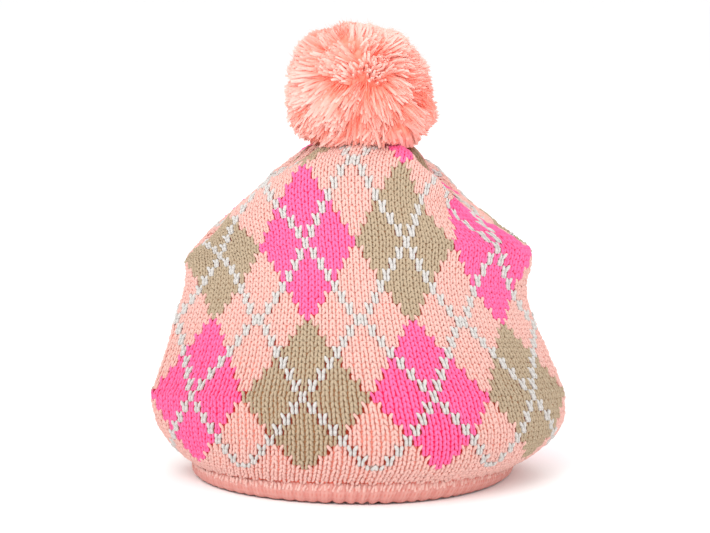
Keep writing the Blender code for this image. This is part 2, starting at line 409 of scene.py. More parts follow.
SECTIONS = (
    #       row  height left   right  depth pt_l  pt_r  lean spread sag_l sag_r
    Section(-4.0, 0.0, 77.5, 74.5, 70.5, 1.00, 1.05, 4.0, 0.00, 0.0, 0.0),
    Section(0.0, 9.5, 79.5, 77.0, 73.5, 1.00, 1.05, 6.0, 0.00, 3.0, 4.5),
    Section(4.2, 18.5, 85.0, 87.8, 78.5, 1.20, 1.15, 9.0, 0.00, 8.5, 7.5),
    Section(10.4, 34.0, 94.5, 100.0, 83.0, 1.60, 1.45, 10.0, -0.05, 13.5, 12.0),
    Section(17.4, 52.0, 99.0, 101.5, 82.0, 1.85, 1.70, 7.5, -0.10, 15.5, 14.0),
    Section(24.8, 70.5, 98.5, 97.0, 77.0, 1.95, 1.70, 4.5, -0.12, 13.5, 13.5),
    Section(32.0, 87.5, 95.5, 91.0, 70.0, 1.95, 1.65, 2.5, -0.12, 12.0, 15.0),
    Section(39.2, 105.0, 88.5, 86.0, 61.5, 1.90, 1.70, 1.0, -0.12, 14.0, 16.0),
    Section(46.6, 123.0, 79.5, 84.0, 51.5, 1.75, 1.75, 0.0, -0.08, 19.5, 13.5),
    Section(53.7, 141.0, 75.5, 74.0, 41.0, 1.50, 1.60, -1.5, 0.02, 29.0, 21.5),
    Section(60.2, 157.0, 59.5, 59.0, 30.0, 1.25, 1.35, -1.0, 0.25, 33.0, 29.0),
    Section(65.2, 163.5, 35.0, 38.0, 18.0, 1.05, 1.10, 3.0, 0.70, 21.5, 19.5),
    Section(68.2, 165.0, 22.5, 28.0, 10.0, 1.00, 1.00, 3.0, 0.80, 6.5, 6.0),
    Section(72.0, 165.0, -2.5, 2.5, 0.0, 1.00, 1.00, 2.5, 0.80, 0.0, 0.0),
)


@dataclass(frozen=True)
class Slit:
    """An opening along one column, pushed open by what comes out of it."""

    half_width: float
    fullness: float = 0.7

    def end_angle(self, row: float, depth: float, point: float) -> float:
        """Finds where a ring of the cloth meets the slit's edge.

        Args:
            row: the ring's knitted row.
            depth: how far it reaches at the front.
            point: how pointed it is.

        Returns:
            The angle from the front.
        """
        share = (row - SLIT_ROWS[0]) / (SLIT_ROWS[1] - SLIT_ROWS[0])
        gap = self.half_width * math.sin(math.pi * share) ** self.fullness if 0.0 < share < 1.0 else 0.0
        return math.pi / 2 if depth <= gap else math.acos((gap / depth) ** (1.0 / point))


@dataclass(frozen=True)
class Fold:
    """A soft ridge, or a trough where its height is negative, between two places on the cloth."""

    start: tuple[float, float]
    end: tuple[float, float]
    height: float
    half_width: float


FOLDS = (
    Fold((22.0, 65.8), (35.6, 53.6), -11.0, 10.0),
    Fold((15.9, 62.0), (29.1, 50.0), 2.5, 9.0),
    Fold((32.3, 48.3), (35.2, 43.8), 3.0, 9.0),
    Fold((-21.1, 46.9), (-20.2, 43.8), 3.0, 9.0),
    Fold((-13.1, 66.5), (-20.6, 56.9), -6.0, 9.0),
    Fold((-6.6, 64.4), (-13.1, 56.9), 1.5, 8.0),
    Fold((48.8, 63.8), (43.1, 53.6), -3.0, 10.0),
    Fold((80.6, 65.0), (88.1, 55.3), -3.0, 10.0),
)


def waves(turns: np.ndarray, *parts: tuple[float, int, float]) -> np.ndarray:
    """Adds up waves round the cover: each part is a height, a number round and a phase."""
    return sum(height * np.sin(number * turns + phase) for height, number, phase in parts)


@dataclass(frozen=True)
class Drape:
    """The shape in which the cloth hangs, at any knitted column and row."""

    spout_slit: Slit = Slit(13.0)
    handle_slit: Slit = Slit(10.0)
    back_depth_share: float = 0.98
    arc_steps: int = 160
    handle_drift: float = 0.25
    spout_drift: float = 0.06
    drift_rows: tuple[float, ...] = (45.6, 47.2, 51.6, 54.2, 61.0)
    drift_shares: tuple[float, ...] = (0.0, 0.15, 0.85, 1.0, 0.0)
    sag_rows: tuple[float, float] = (47.0, 60.0)
    sag_powers: tuple[float, float] = (2.0, 2.5)  # the more, the more the sag keeps to the sides
    pleats: int = 16
    pleat_height: float = 1.1
    pleat_rows: tuple[float, float, float] = (56.9, 65.8, 72.0)
    hem_bulge: float = 0.9
    stitched_dip: float = 0.7
    dip_rows_squared: float = 3.0
    ribs: int = 72
    rib_height: float = 1.7
    rib_middle: float = 0.64  # the share of a lobe that is as high as the plain hem
    rib_lean: float = 1.3  # radians of a lobe's own turn
    rib_start: float = 0.15  # of the hem's height: how far under its lower edge the lobes would start
    rib_least: float = 0.35  # the share of their height that the lobes have away from the middle of the front
    rib_width: float = 0.22  # of the part of the front where they are highest

    def ring(self, row: float) -> Section:
        """Finds the cloth's ring at any row, on a smooth curve through the table of sections.

        Args:
            row: the knitted row.

        Returns:
            The ring.
        """
        table = np.array([astuple(section) for section in SECTIONS])
        rows, values = table[:, 0], table[:, 1:]
        slopes = np.gradient(values, rows, axis=0)
        low = int(np.clip(np.searchsorted(rows, row) - 1, 0, len(rows) - 2))
        step = rows[low + 1] - rows[low]
        t = (row - rows[low]) / step
        found = (2 * t**3 - 3 * t**2 + 1) * values[low] + (t**3 - 2 * t**2 + t) * step * slopes[low]
        found += (3 * t**2 - 2 * t**3) * values[low + 1] + (t**3 - t**2) * step * slopes[low + 1]
        return Section(row, *(float(value) for value in found))

    def drift(self, rows: np.ndarray, turns: np.ndarray) -> np.ndarray:
        """Finds how far the gather pulls the cloth round at its two sides, above the slits.

        Args:
            rows: knitted rows.
            turns: places from -1 at the spout to 1 at the handle, and to 3 round the back.

        Returns:
            The pull at each place, in half rounds.
        """
        share = np.interp(rows, self.drift_rows, self.drift_shares)
        most = np.where((turns > 0.0) & (turns < 2.0), self.handle_drift, self.spout_drift)
        return most * share * np.sin(math.pi / 2 * turns) ** 4

    def ring_points(self, row: float, turns: np.ndarray, back: bool) -> np.ndarray:
        """Points of one half of the cloth at one row.

        Args:
            row: the knitted row.
            turns: places from -1 at the spout to 1 at the handle.
            back: whether it is the back half.

        Returns:
            One point for each place, in millimetres.
        """
        ring = self.ring(row)
        left_end = self.spout_slit.end_angle(row, ring.depth, ring.point_left)
        right_end = self.handle_slit.end_angle(row, ring.depth, ring.point_right)
        left = np.linspace(-left_end, 0.0, self.arc_steps + 1)
        right = np.linspace(0.0, right_end, self.arc_steps + 1)[1:]
        across = [(ring.left + ring.lean) * np.sin(left), (ring.right - ring.lean) * np.sin(right)]
        toward = np.concatenate([np.cos(left) ** ring.point_left, np.cos(right) ** ring.point_right])
        sag = np.concatenate([ring.sag_left * np.sin(-left) ** 2, ring.sag_right * np.sin(right) ** 2])
        power = float(np.interp(row, self.sag_rows, self.sag_powers))
        sag = sag * np.abs(np.sin(np.concatenate([left, right]))) ** (power - 2.0)
        curve = [ring.lean + np.concatenate(across), -ring.depth * toward, ring.height - sag]
        steps = np.linalg.norm(np.diff(curve, axis=1), axis=0)
        length = np.concatenate([[0.0], np.cumsum(steps)])
        drawn = turns * (1.0 + ring.spread * (1.0 - np.abs(turns)))
        if ring.spread > 0.0:  # gathered most at the sides
            drawn = np.sign(turns) * (1.0 - (1.0 - np.abs(turns)) ** (1.0 + ring.spread))
        behind = np.full(len(turns), back)
        if row > self.drift_rows[0]:
            drawn = 2.0 - drawn if back else drawn
            drawn = (drawn - self.drift(np.array(row), drawn) + 1.0) % 4.0 - 1.0
            behind = drawn > 1.0
            drawn = np.where(behind, 2.0 - drawn, drawn)
        middle = length[self.arc_steps]
        at = middle + np.where(drawn < 0.0, drawn * middle, drawn * (length[-1] - middle))
        points = np.stack([np.interp(at, length, line) for line in curve], axis=1)
        points[behind, 1] *= -self.back_depth_share
        return points

    def panel(self, columns: np.ndarray, rows: np.ndarray, back: bool) -> np.ndarray:
        """Points of one half of the cover, for each of the rows and of the columns from spout to handle."""
        turns = (columns - FRONT_COLUMN) / HALF_ROUND
        return np.array([self.ring_points(float(row), turns, back) for row in rows]) + CENTRE_SHIFT

    def scallops(self, columns: np.ndarray, level: np.ndarray | float) -> np.ndarray:
        """Finds the hem's lobes, which lean towards the middle of the front and of the back as they go down,
        and wander a little.

        Args:
            columns: knitted columns.
            level: the share of the hem's height.

        Returns:
            From 0 in a notch to 1 on a crest.
        """
        turns = 2 * math.pi * (columns - FRONT_COLUMN) / COLUMNS_ROUND
        lean = self.rib_lean * np.sin(2 * turns) * (1.0 - level)
        return np.abs(np.cos(self.ribs / 2 * turns + waves(turns, (0.55, 7, 1.0), (0.4, 17, 0.4)) + lean))

    def rib_strength(self, columns: np.ndarray) -> np.ndarray:
        """Finds how marked the hem's lobes are: most at the middle of the front, where it is drawn up most.

        Args:
            columns: knitted columns.

        Returns:
            The share of their height.
        """
        turns = 2 * math.pi * (columns - FRONT_COLUMN) / COLUMNS_ROUND
        front = np.exp(-((np.sin(turns / 2) / self.rib_width) ** 2))
        uneven = 0.75 + waves(turns, (0.15, 9, 2.0), (0.10, 23, 0.0))
        return uneven * (self.rib_least + (1.0 - self.rib_least) * front)

    def hem_relief(self, columns: np.ndarray, rows: np.ndarray) -> np.ndarray:
        """Finds how far the doubled hem swells out, with its lobes, and its stitching draws in.

        Args:
            columns: knitted columns.
            rows: knitted rows.

        Returns:
            The height over the plain drape, in millimetres.
        """
        level = np.clip((rows - HEM_ROW) / -HEM_ROW, 0.0, 1.0)
        swell = self.hem_bulge * np.sin(math.pi * level)
        lobes = self.rib_height * (self.scallops(columns, level) - self.rib_middle)
        risen = np.clip(level + self.rib_start, 0.0, 1.0)
        lobes = lobes * self.rib_strength(columns) * np.sin(math.pi * risen)
        dip = -self.stitched_dip * np.exp(-(rows**2) / self.dip_rows_squared)
        return np.where(rows < 0.0, swell + lobes + dip * level, dip)

    def relief(self, columns: np.ndarray, rows: np.ndarray) -> np.ndarray:
        """Finds how far the folds, the gathers and the hem stand out from the plain drape.

        Args:
            columns: knitted columns.
            rows: knitted rows.

        Returns:
            The height over the plain drape, in millimetres.
        """
        size = np.array([COLUMN_PITCH, ROW_PITCH])
        drifted = HALF_ROUND * self.drift(rows, (columns - FRONT_COLUMN) / HALF_ROUND)
        places = np.stack([columns - drifted, rows], axis=1) * size
        raised = self.pleat_height * np.interp(rows, self.pleat_rows, (0.0, 1.0, 0.0))
        raised = raised * np.cos(2 * math.pi * self.pleats * columns / COLUMNS_ROUND)
        for fold in FOLDS:
            start = np.array(fold.start) * size
            run = np.array(fold.end) * size - start
            share = np.clip((places - start) @ run / (run @ run), 0.0, 1.0)
            distance = np.linalg.norm(places - start - share[:, None] * run, axis=1)
            raised = raised + fold.height * np.exp(-((distance / fold.half_width) ** 2))
        return raised + self.hem_relief(columns, rows)


# ---------------------------------------------------------------- the yarns


class Yarn(Enum):
    """The four yarns of the argyle."""

    PALE = "pale_pink"
    TAUPE = "taupe"
    PINK = "bright_pink"
    WHITE = "off_white"


@dataclass(frozen=True)
class YarnFinish:
    """Soft-spun acrylic yarn, two plies twisted together: matt and faintly hairy, with painted shade low
    between the stitches, a deeper colour that stands for the shade there and for the light that has gone
    through the yarn more than once."""

    name: str
    colour: str
    # painted shade: the deeper colour that the yarn has low between the stitches
    deep: str
    # the cloth seen between the stitches: the packed yarn, darkened by painted shade
    ground: str
    deepest: float = -0.3  # the lift up to which the yarn has its painted shade colour, and 1 mm higher its own
    mottling: float = 0.35
    tones: float = 0.16  # between one stitch and the next
    evening: float = 0.17  # what the mottling adds on average
    ply_pitch: float = 1.3  # of the twist along the yarn
    ply_depth: float = 0.3
    fibre: float = 0.35  # of the mottling; a real fibre, 0.02 mm, is too fine to show
    fuzz: float = 0.6  # the mottling's share of the relief

    def material(self) -> bpy.types.Material:
        """Makes the material, for stitches that store how far along, round and out each point is.

        Returns:
            The yarn's material.
        """
        paint = Paint(self.name)
        along, around, shade, lift = (
            paint.add("ShaderNodeAttribute", out="Fac", attribute_name=name)
            for name in (ALONG, AROUND, SHADE, LIFT)
        )
        mottle = paint.mottle(1 / (self.fibre * MM), 2.0)
        # painted shade: the lower a point of a leg lies, the more of the deep colour it has
        height = paint.add("ShaderNodeClamp", {"Value": lift - self.deepest})
        share = height + mottle * self.mottling + shade * self.tones - self.evening
        colours = {"Factor": share, 6: self.deep, 7: self.colour}
        colour = paint.add("ShaderNodeMix", colours, 2, data_type="RGBA")
        ply = paint.ridges(along / self.ply_pitch + around)
        paint.raise_by(ply + mottle * self.fuzz, self.ply_depth, strength=0.6)
        return paint.dress(colour, roughness=0.85, specular=0.25, sheen=0.06)


# each yarn's own colour, its deeper colour of painted shade, and its ground darkened by painted shade
FINISHES = {
    Yarn.PALE: YarnFinish("pale_pink_acrylic_yarn", "#E9BAB0", "#E4A397", "#EA8F7E"),
    Yarn.TAUPE: YarnFinish("taupe_acrylic_yarn", "#B9A58B", "#A98C6F", "#A27552"),
    Yarn.PINK: YarnFinish("bright_pink_acrylic_yarn", "#FF6FA6", "#FF4385", "#F52862"),
    Yarn.WHITE: YarnFinish("off_white_acrylic_yarn", "#CFCBC7", "#C4BDB8", "#C0A398"),
}


@dataclass(frozen=True)
class GroundFinish:
    """The cloth seen between its stitches and on its purl side: the same yarns, packed, in colours darkened
    by painted shade. The purl side shows as rows of low bumps, one for each stitch."""

    name: str
    bump_depth: float
    # how bright the ground colours are: less is darker, by painted shade
    brightness: float
    mottling: float = 0.5
    fuzz: float = 0.7  # the mottling's share of the relief

    def material(self) -> bpy.types.Material:
        """Makes the material, for a sheet whose chart is its UV map and that stores its ground colour, with
        its painted shade.

        Returns:
            The cloth's material.
        """
        paint = Paint(self.name)
        across = paint.add("ShaderNodeSeparateXYZ", {0: paint.add("ShaderNodeUVMap", uv_map=UV)})
        columns = paint.calc("COSINE", across * (COLUMNS_ROUND * 2 * math.pi))
        rows = paint.calc("COSINE", across.beside("Y") * (CHART_ROWS * 2 * math.pi))
        mottle = paint.mottle(900.0, 3.0)
        paint.raise_by(columns * rows + mottle * self.fuzz, self.bump_depth)
        yarn = paint.add("ShaderNodeAttribute", out="Color", attribute_name=GROUND)
        # the ground colour times the brightness: less brightness is more painted shade
        shades = {"Factor": 1.0, 6: yarn, 7: mottle * self.mottling + self.brightness}
        tint = paint.add("ShaderNodeMix", shades, 2, data_type="RGBA", blend_type="MULTIPLY")
        return paint.dress(tint, roughness=0.92, specular=0.2)


@dataclass(frozen=True)
class HemFinish:
    """The same pale yarn on the hem, where the stitches are drawn out flat: soft, with faint legs that have
    painted light along their middles, coral holes of painted shade that fade towards the lower edge, painted
    light on the lobes' crests and painted shade in their notches, and a painted deep red shadow where the
    edge turns under."""

    # painted light: the colour of the lobes' crests and the legs' middles
    crest: str = "#DBA399"
    # painted shade: the colour in the lobes' notches
    hollow: str = "#CF857C"
    # painted shade: the colour of the holes between the legs
    hole: str = "#CC5F50"
    # painted shadow: the deep red where the edge turns under
    under: str = "#8E3F36"
    leg_depth: float = 0.45
    leg_light: float = 0.3  # painted light: how much lighter a leg is along its middle
    mottling: float = 0.7
    patching: float = 0.6
    evening: float = 0.85  # what the lobes and these add on average
    hole_strength: float = 1.7
    fuzz: float = 0.5  # the mottling's share of the relief
    fade: float = 0.8  # the less, the sooner the legs and holes show over the lower edge
    rows: float = 4.0
    lean: float = 0.9  # in columns, from the seam to the lower edge
    turned: float = 0.06  # the share of the height that is turned under and has the painted shadow

    def material(self) -> bpy.types.Material:
        """Makes the material, for a roll whose UV map has the way round as U and the height as V.

        Returns:
            The hem's material.
        """
        paint = Paint("pale_pink_hem")
        across = paint.add("ShaderNodeSeparateXYZ", {0: paint.add("ShaderNodeUVMap", uv_map=UV)})
        height = across.beside("Y")
        # painted light and shade of the lobes: lighter on their crests, darker in their notches and towards
        # the lower edge
        lobe = paint.add("ShaderNodeAttribute", out="Fac", attribute_name=LIFT)
        aside = paint.calc("SINE", across * (4 * math.pi)) * (height - 1.0)
        fade = height**self.fade
        leg = paint.ridges((aside * self.lean + across * COLUMNS_ROUND) * 2.0)
        row = paint.ridges(height * self.rows)
        mottle, patch = paint.mottle(1400.0, 3.0), paint.mottle(260.0, 1.0)
        # painted light: the legs' middles and the lobes' crests are lighter
        light = leg * fade * self.leg_light + mottle * self.mottling + patch * self.patching + lobe
        # painted shade in the holes between the legs
        hole = (leg * -1.0 + 1.0) * row**2.0 * patch * fade * self.hole_strength
        # painted shadow where the edge turns under
        turned = height / -self.turned + 1.0
        colour = self.hollow
        for share, shade in ((light - self.evening, self.crest), (hole, self.hole), (turned, self.under)):
            colours = {"Factor": share, 6: colour, 7: shade}
            colour = paint.add("ShaderNodeMix", colours, 2, data_type="RGBA")
        paint.raise_by(mottle * self.fuzz + leg * fade, self.leg_depth)
        return paint.dress(colour, roughness=0.9, specular=0.2, sheen=0.06)


@dataclass(frozen=True)
class ArgyleChart:
    """The argyle by rule: coloured diamonds in turn, and a white lattice one stitch wide through them."""

    repeat: int = 15
    half_diamond: int = 7
    first_row: int = 4
    rows_high: int = 28  # of a diamond: two for each step, and one for the single stitch at each tip

    def yarn_at(self, column: int, row: int) -> Yarn:
        """Finds the yarn of one stitch.

        Args:
            column: its knitted column.
            row: its knitted row.

        Returns:
            The yarn.
        """
        if row < self.first_row:
            return Yarn.PALE
        up, into = divmod(row - self.first_row, self.rows_high)
        step = abs((into + 1) // 2 - self.half_diamond)
        across = round(column / self.repeat)
        aside = abs(column - across * self.repeat)
        if aside == step:
            return Yarn.WHITE
        if aside + step > self.half_diamond:
            return Yarn.PALE
        return Yarn.TAUPE if (across + up) % 2 == 0 else Yarn.PINK


@dataclass(frozen=True)
class StitchPlace:
    """Where one stitch is, and how far its left and right legs flare: 1 where another yarn knitted over the
    leg leaves its end showing, and less than 0 where the leg draws back from another yarn beside it."""

    column: float
    row: float
    flares: tuple[float, float] = (0.0, 0.0)


# ---------------------------------------------------------------- the cover


@dataclass
class ClothSheet:
    """The cover's sheet between the stitches and the purl side, laid on the drape and thickened inwards."""

    drape: Drape
    chart: ArgyleChart
    skin_depth: float = 1.0  # of the guide under the cover's outside, which is the stitches' crest
    filled: float = 0.2  # how far the sheet's face lies over the guide, where yarn fills the gaps
    thickness: float = 1.9
    weld: float = 0.002
    seam_row: float = 0.9  # up to which the ground is in the deep shadow of the hem's stitching
    seam_colour: str = "#E8705C"
    between_yarns: str = "#CC7A68"  # times the two yarns: painted shade in the gap where the cloth is pulled open between them

    def face(self, name: str, column_step: float, rows: np.ndarray) -> bpy.types.Object:
        """Makes the cloth's face, one layer thick.

        Args:
            name: the object's name.
            column_step: the width of a face, in columns.
            rows: the rows on which the mesh has a line.

        Returns:
            The object, with its chart, its outward direction, its pitch and its ground colour stored.
        """
        columns = np.arange(SPOUT_COLUMN, HANDLE_COLUMN + column_step / 2, column_step)
        column_of, row_of = np.tile(columns, len(rows)), np.repeat(rows, len(columns))
        places = np.array([np.concatenate([column_of, 2 * HANDLE_COLUMN - column_of]), np.tile(row_of, 2)]).T
        points, pitches = [], []
        for back in (False, True):
            panel = self.drape.panel(columns, rows, back)
            ways = [np.gradient(panel, columns, axis=1), np.gradient(panel, rows, axis=0)]
            sizes = [np.linalg.norm(way, axis=2) for way in ways]
            pitches.append(np.stack([*sizes, panel[..., 0] * 0.0], axis=2))
            points.append(panel)
        faces = grid_faces(len(rows), len(columns))
        faces = np.concatenate([faces, (faces + len(column_of))[:, ::-1]])
        mesh = new_mesh(name, np.concatenate(points).reshape(-1, 3), faces)
        store(mesh, PITCH, "FLOAT_VECTOR", np.concatenate(pitches))
        store(mesh, "place", "FLOAT_VECTOR", np.pad(places, ((0, 0), (0, 1))))
        store_chart(mesh, (places - (SPOUT_COLUMN, CHART_FIRST_ROW)) / (COLUMNS_ROUND, CHART_ROWS))
        self.weld_and_raise(mesh)
        self.colour_ground(mesh)
        return new_object(name, mesh)

    def weld_and_raise(self, mesh: bpy.types.Mesh) -> None:
        """Joins the two halves and raises the folds along the drape's own normals.

        Args:
            mesh: the cloth's face.
        """
        bm = bmesh.new()
        bm.from_mesh(mesh)
        bmesh.ops.remove_doubles(bm, verts=bm.verts, dist=self.weld)
        bmesh.ops.recalc_face_normals(bm, faces=bm.faces)
        bm.normal_update()
        layer = bm.verts.layers.float_vector["place"]
        places = np.array([vert[layer] for vert in bm.verts])
        raised = self.drape.relief(places[:, 0], places[:, 1]) - self.skin_depth
        for vert, rise in zip(bm.verts, raised):
            vert.co = (vert.co + vert.normal * rise) * MM
        bm.normal_update()
        bm.to_mesh(mesh)
        bm.free()
        store(mesh, OUTWARD, "FLOAT_VECTOR", np.array([vert.normal for vert in mesh.vertices]))
        mesh.shade_smooth()

    def colour_ground(self, mesh: bpy.types.Mesh) -> None:
        """Stores each face's ground colour, by the yarn that is knitted there, with painted shade where two
        yarns meet and the painted shadow of the hem's seam.

        Args:
            mesh: the cloth's face, with its chart.
        """
        shades = {yarn: np.array(linear(finish.ground)) for yarn, finish in FINISHES.items()}
        # painted shade for the gaps where two yarns meet and the cloth is pulled open
        between = 0.5 * np.array(linear(self.between_yarns))
        corners = np.zeros(len(mesh.loops) * 2, np.float32)
        mesh.uv_layers[UV].data.foreach_get("uv", corners)
        colours = []
        for face in mesh.polygons:
            middle = corners.reshape(-1, 2)[face.loop_start : face.loop_start + face.loop_total].mean(axis=0)
            place = float(middle[0]) * COLUMNS_ROUND + SPOUT_COLUMN
            column, row = round(place), float(middle[1]) * CHART_ROWS + CHART_FIRST_ROW
            yarn = self.chart.yarn_at(column, math.floor(row))
            beside = self.chart.yarn_at(column + (1 if place > column else -1), math.floor(row))
            shade = shades[yarn] if beside is yarn else (shades[yarn] + shades[beside]) * between
            # painted shadow: the ground in the hem's seam has the seam's shadow colour
            colours.append(linear(self.seam_colour) if abs(row) < self.seam_row else shade)
        store(mesh, GROUND, "FLOAT_COLOR", np.array(colours), "FACE")

    def build(self, face: bpy.types.Material, purl: bpy.types.Material) -> bpy.types.Object:
        """Makes the finished sheet, from the hem's stitching up.

        Args:
            face: the material between the stitches.
            purl: the material of the inside and of the slits' edges.

        Returns:
            The sheet.
        """
        raised = replace(self, skin_depth=self.skin_depth - self.filled)
        sheet = raised.face("knitted_cloth", 0.5, np.arange(0.0, TOP_ROW + 0.5))
        for material in (face, purl):
            sheet.data.materials.append(material)
        solidify = sheet.modifiers.new("cloth", "SOLIDIFY")
        solidify.thickness = self.thickness * MM
        solidify.offset = -1.0
        solidify.material_offset = solidify.material_offset_rim = 1
        settle(sheet)
        return report(sheet)


@dataclass
class Stitches:
    """Knitted stitches, each a V of two legs of yarn, laid on a guide sheet by its chart."""

    yarn_radius: float = 0.9
    foot_spread: float = 0.16  # from the stitch's middle, at its foot
    arm_spread: float = 1.64
    foot_rise: float = -0.9  # from the stitch's own row
    arm_rise: float = 3.5
    crest: float = 0.42  # of a leg's highest part over the sheet
    foot_tuck: float = 0.3  # of its foot under the sheet
    arm_tuck: float = 0.1
    unevenness: float = 0.12
    wander: float = 0.5  # of an arm's end

    def inputs(self) -> dict[str, float]:
        """The sizes that may differ from piece to piece, by the names of the tree's inputs."""
        return {name.replace("_", " ").title(): size for name, size in vars(self).items()}

    def lay(
        self, name: str, places: list[StitchPlace], grower: Grower, others: dict[str, object]
    ) -> bpy.types.Object:
        """Lays one piece of stitches.

        Args:
            name: the piece's name.
            places: where each stitch is and how its legs flare.
            grower: the tree that knits them.
            others: its other inputs: the guide sheet and the yarn's material.

        Returns:
            The stitches as one plain mesh.
        """
        mesh = new_mesh(name, np.array([(place.column, place.row, 0.0) for place in places]), np.array([]))
        store(mesh, FLARE, "FLOAT_VECTOR", np.array([(*place.flares, 0.0) for place in places]))
        piece = new_object(name, mesh)
        grower.run(piece, self.inputs() | others)
        return report(piece)


@dataclass
class Knitting:
    """What turns a mesh of stitch places, X a column and Y a row, into stitches on the guide."""

    plain: Stitches
    upright_from: float = 3.7  # the column pitch past which stretched cloth has its legs more upright
    upright_over: float = 0.7
    upright_apart: float = 0.35
    upright_less: float = 0.32
    slim_under: float = 3.1  # the column pitch under which the yarn is drawn in
    flare_wide: float = 0.7  # of a leg's end, where another yarn is knitted over it and leaves it showing
    flare_high: float = 0.28
    flare_bend: float = 1.5  # the more, the more the flare keeps to the leg's end
    own_side: float = 0.02  # in columns: how near a leg comes to its stitch's centre line
    slit_edge: float = 0.04  # in columns: how near a stitch comes to the edge of a slit
    chart_edge: float = 0.0005  # how near it comes to the chart's own border
    low_edge: float = 0.01  # in rows: how near it comes to the hem's edge, and to the gathered end
    high_edge: float = 1.5
    welded: float = 0.01  # the distance under which the points of a leg are joined
    bluntness: float = 0.32  # of a leg's ends: less is blunter
    sides: int = 6
    segments: int = 4
    seed: int = 11

    def legs(self, grower: Grower) -> Wire:
        """Makes one stitch's V, as a mesh in millimetres for the cloth's usual pitch.

        Args:
            grower: the tree.

        Returns:
            The mesh, which stores each point's own place and its centre line's.
        """
        size = grower.entry
        foot = (size["Foot Spread"], size["Foot Rise"], size["Foot Tuck"] * -1.0)
        arm = (size["Arm Spread"], size["Arm Rise"], size["Arm Tuck"] * -1.0)
        across, up, low = ((first + second) * 0.5 for first, second in zip(foot, arm))
        bend = (across, up, size["Crest"] * 2.0 - low)
        feeds: dict[str, object] = {"Resolution": self.segments}
        for name, place in (("Start", foot), ("Middle", bend), ("End", arm)):
            feeds[name] = grower.add("ShaderNodeCombineXYZ", dict(enumerate(place)))
        right = grower.add("GeometryNodeCurveQuadraticBezier", feeds)
        left = grower.add("GeometryNodeTransform", {"Geometry": right, "Scale": (-1.0, 1.0, 1.0)})
        both = grower.add("GeometryNodeJoinGeometry", {0: right})
        grower.feed(both.socket.node.inputs[0], left)
        share = grower.add("GeometryNodeSplineParameter", out="Factor")
        place = grower.add("GeometryNodeInputPosition")
        lines = grower.keep(both, {"centre": place, ALONG: share.beside("Length")})
        circle_feeds = {"Resolution": self.sides, "Radius": size["Yarn Radius"]}
        circle = grower.keep(grower.add("GeometryNodeCurvePrimitiveCircle", circle_feeds), {AROUND: share})
        swell = grower.calc("SINE", share * math.pi) ** self.bluntness
        feeds = {"Curve": lines, "Profile Curve": circle, "Scale": swell}
        tubes = grower.add("GeometryNodeCurveToMesh", feeds)
        merged = grower.add("GeometryNodeMergeByDistance", {"Geometry": tubes, "Distance": self.welded})
        return grower.keep(merged, {"local": place})

    def sample(self, grower: Grower, value: Wire, at: Wire) -> Wire:
        """Looks a value of the guide sheet up at a place of its chart.

        Args:
            grower: the tree.
            value: what the sheet has.
            at: the place.

        Returns:
            The value there.
        """
        guide = grower.add("GeometryNodeObjectInfo", {"Object": grower.entry["Guide"]}, "Geometry")
        chart = grower.kept("FLOAT_VECTOR", UV)[0]
        feeds = {"Mesh": guide, "Value": value, "UV Map": chart, "Sample UV": at}
        return grower.add("GeometryNodeSampleUVSurface", feeds, "Value", data_type="FLOAT_VECTOR")

    def chart_of(self, grower: Grower, column: Wire, row: Wire) -> Wire:
        """Works out the UV of a column and row, with the columns going round the cover.

        Args:
            grower: the tree.
            column: the column, which may be past the chart's border.
            row: the row.

        Returns:
            The UV.
        """
        wrapped = grower.calc("WRAP", column, HANDLE_COLUMN + 2 * HALF_ROUND, SPOUT_COLUMN)
        across = (wrapped - SPOUT_COLUMN) / COLUMNS_ROUND
        limits = {"Min": self.chart_edge, "Max": 1.0 - self.chart_edge}
        across = grower.add("ShaderNodeClamp", {"Value": across} | limits)
        limits = {"Min": HEM_ROW + self.low_edge, "Max": TOP_ROW - self.high_edge}
        held = grower.add("ShaderNodeClamp", {"Value": row} | limits)
        up = (held - CHART_FIRST_ROW) / CHART_ROWS
        return grower.add("ShaderNodeCombineXYZ", {"X": across, "Y": up})

    def kept_at_slits(self, grower: Grower, middle: Wire, column: Wire, row: Wire) -> Wire:
        """Holds a point's column on its own side of the slits.

        Args:
            grower: the tree.
            middle: the column of the point's stitch.
            column: the column where the point would be.
            row: its row.

        Returns:
            The column where it is.
        """
        half = grower.calc("FLOOR", (middle - SPOUT_COLUMN) / (2 * HALF_ROUND))
        low = half * (2 * HALF_ROUND) + (SPOUT_COLUMN + self.slit_edge)
        held = grower.calc("MAXIMUM", column, low)
        held = grower.calc("MINIMUM", held, low + 2 * (HALF_ROUND - self.slit_edge))
        low_row, high_row = SLIT_ROWS
        at_slit = grower.calc("COMPARE", row, (low_row + high_row) / 2, (high_row - low_row) / 2)
        return (held - column) * at_slit + column

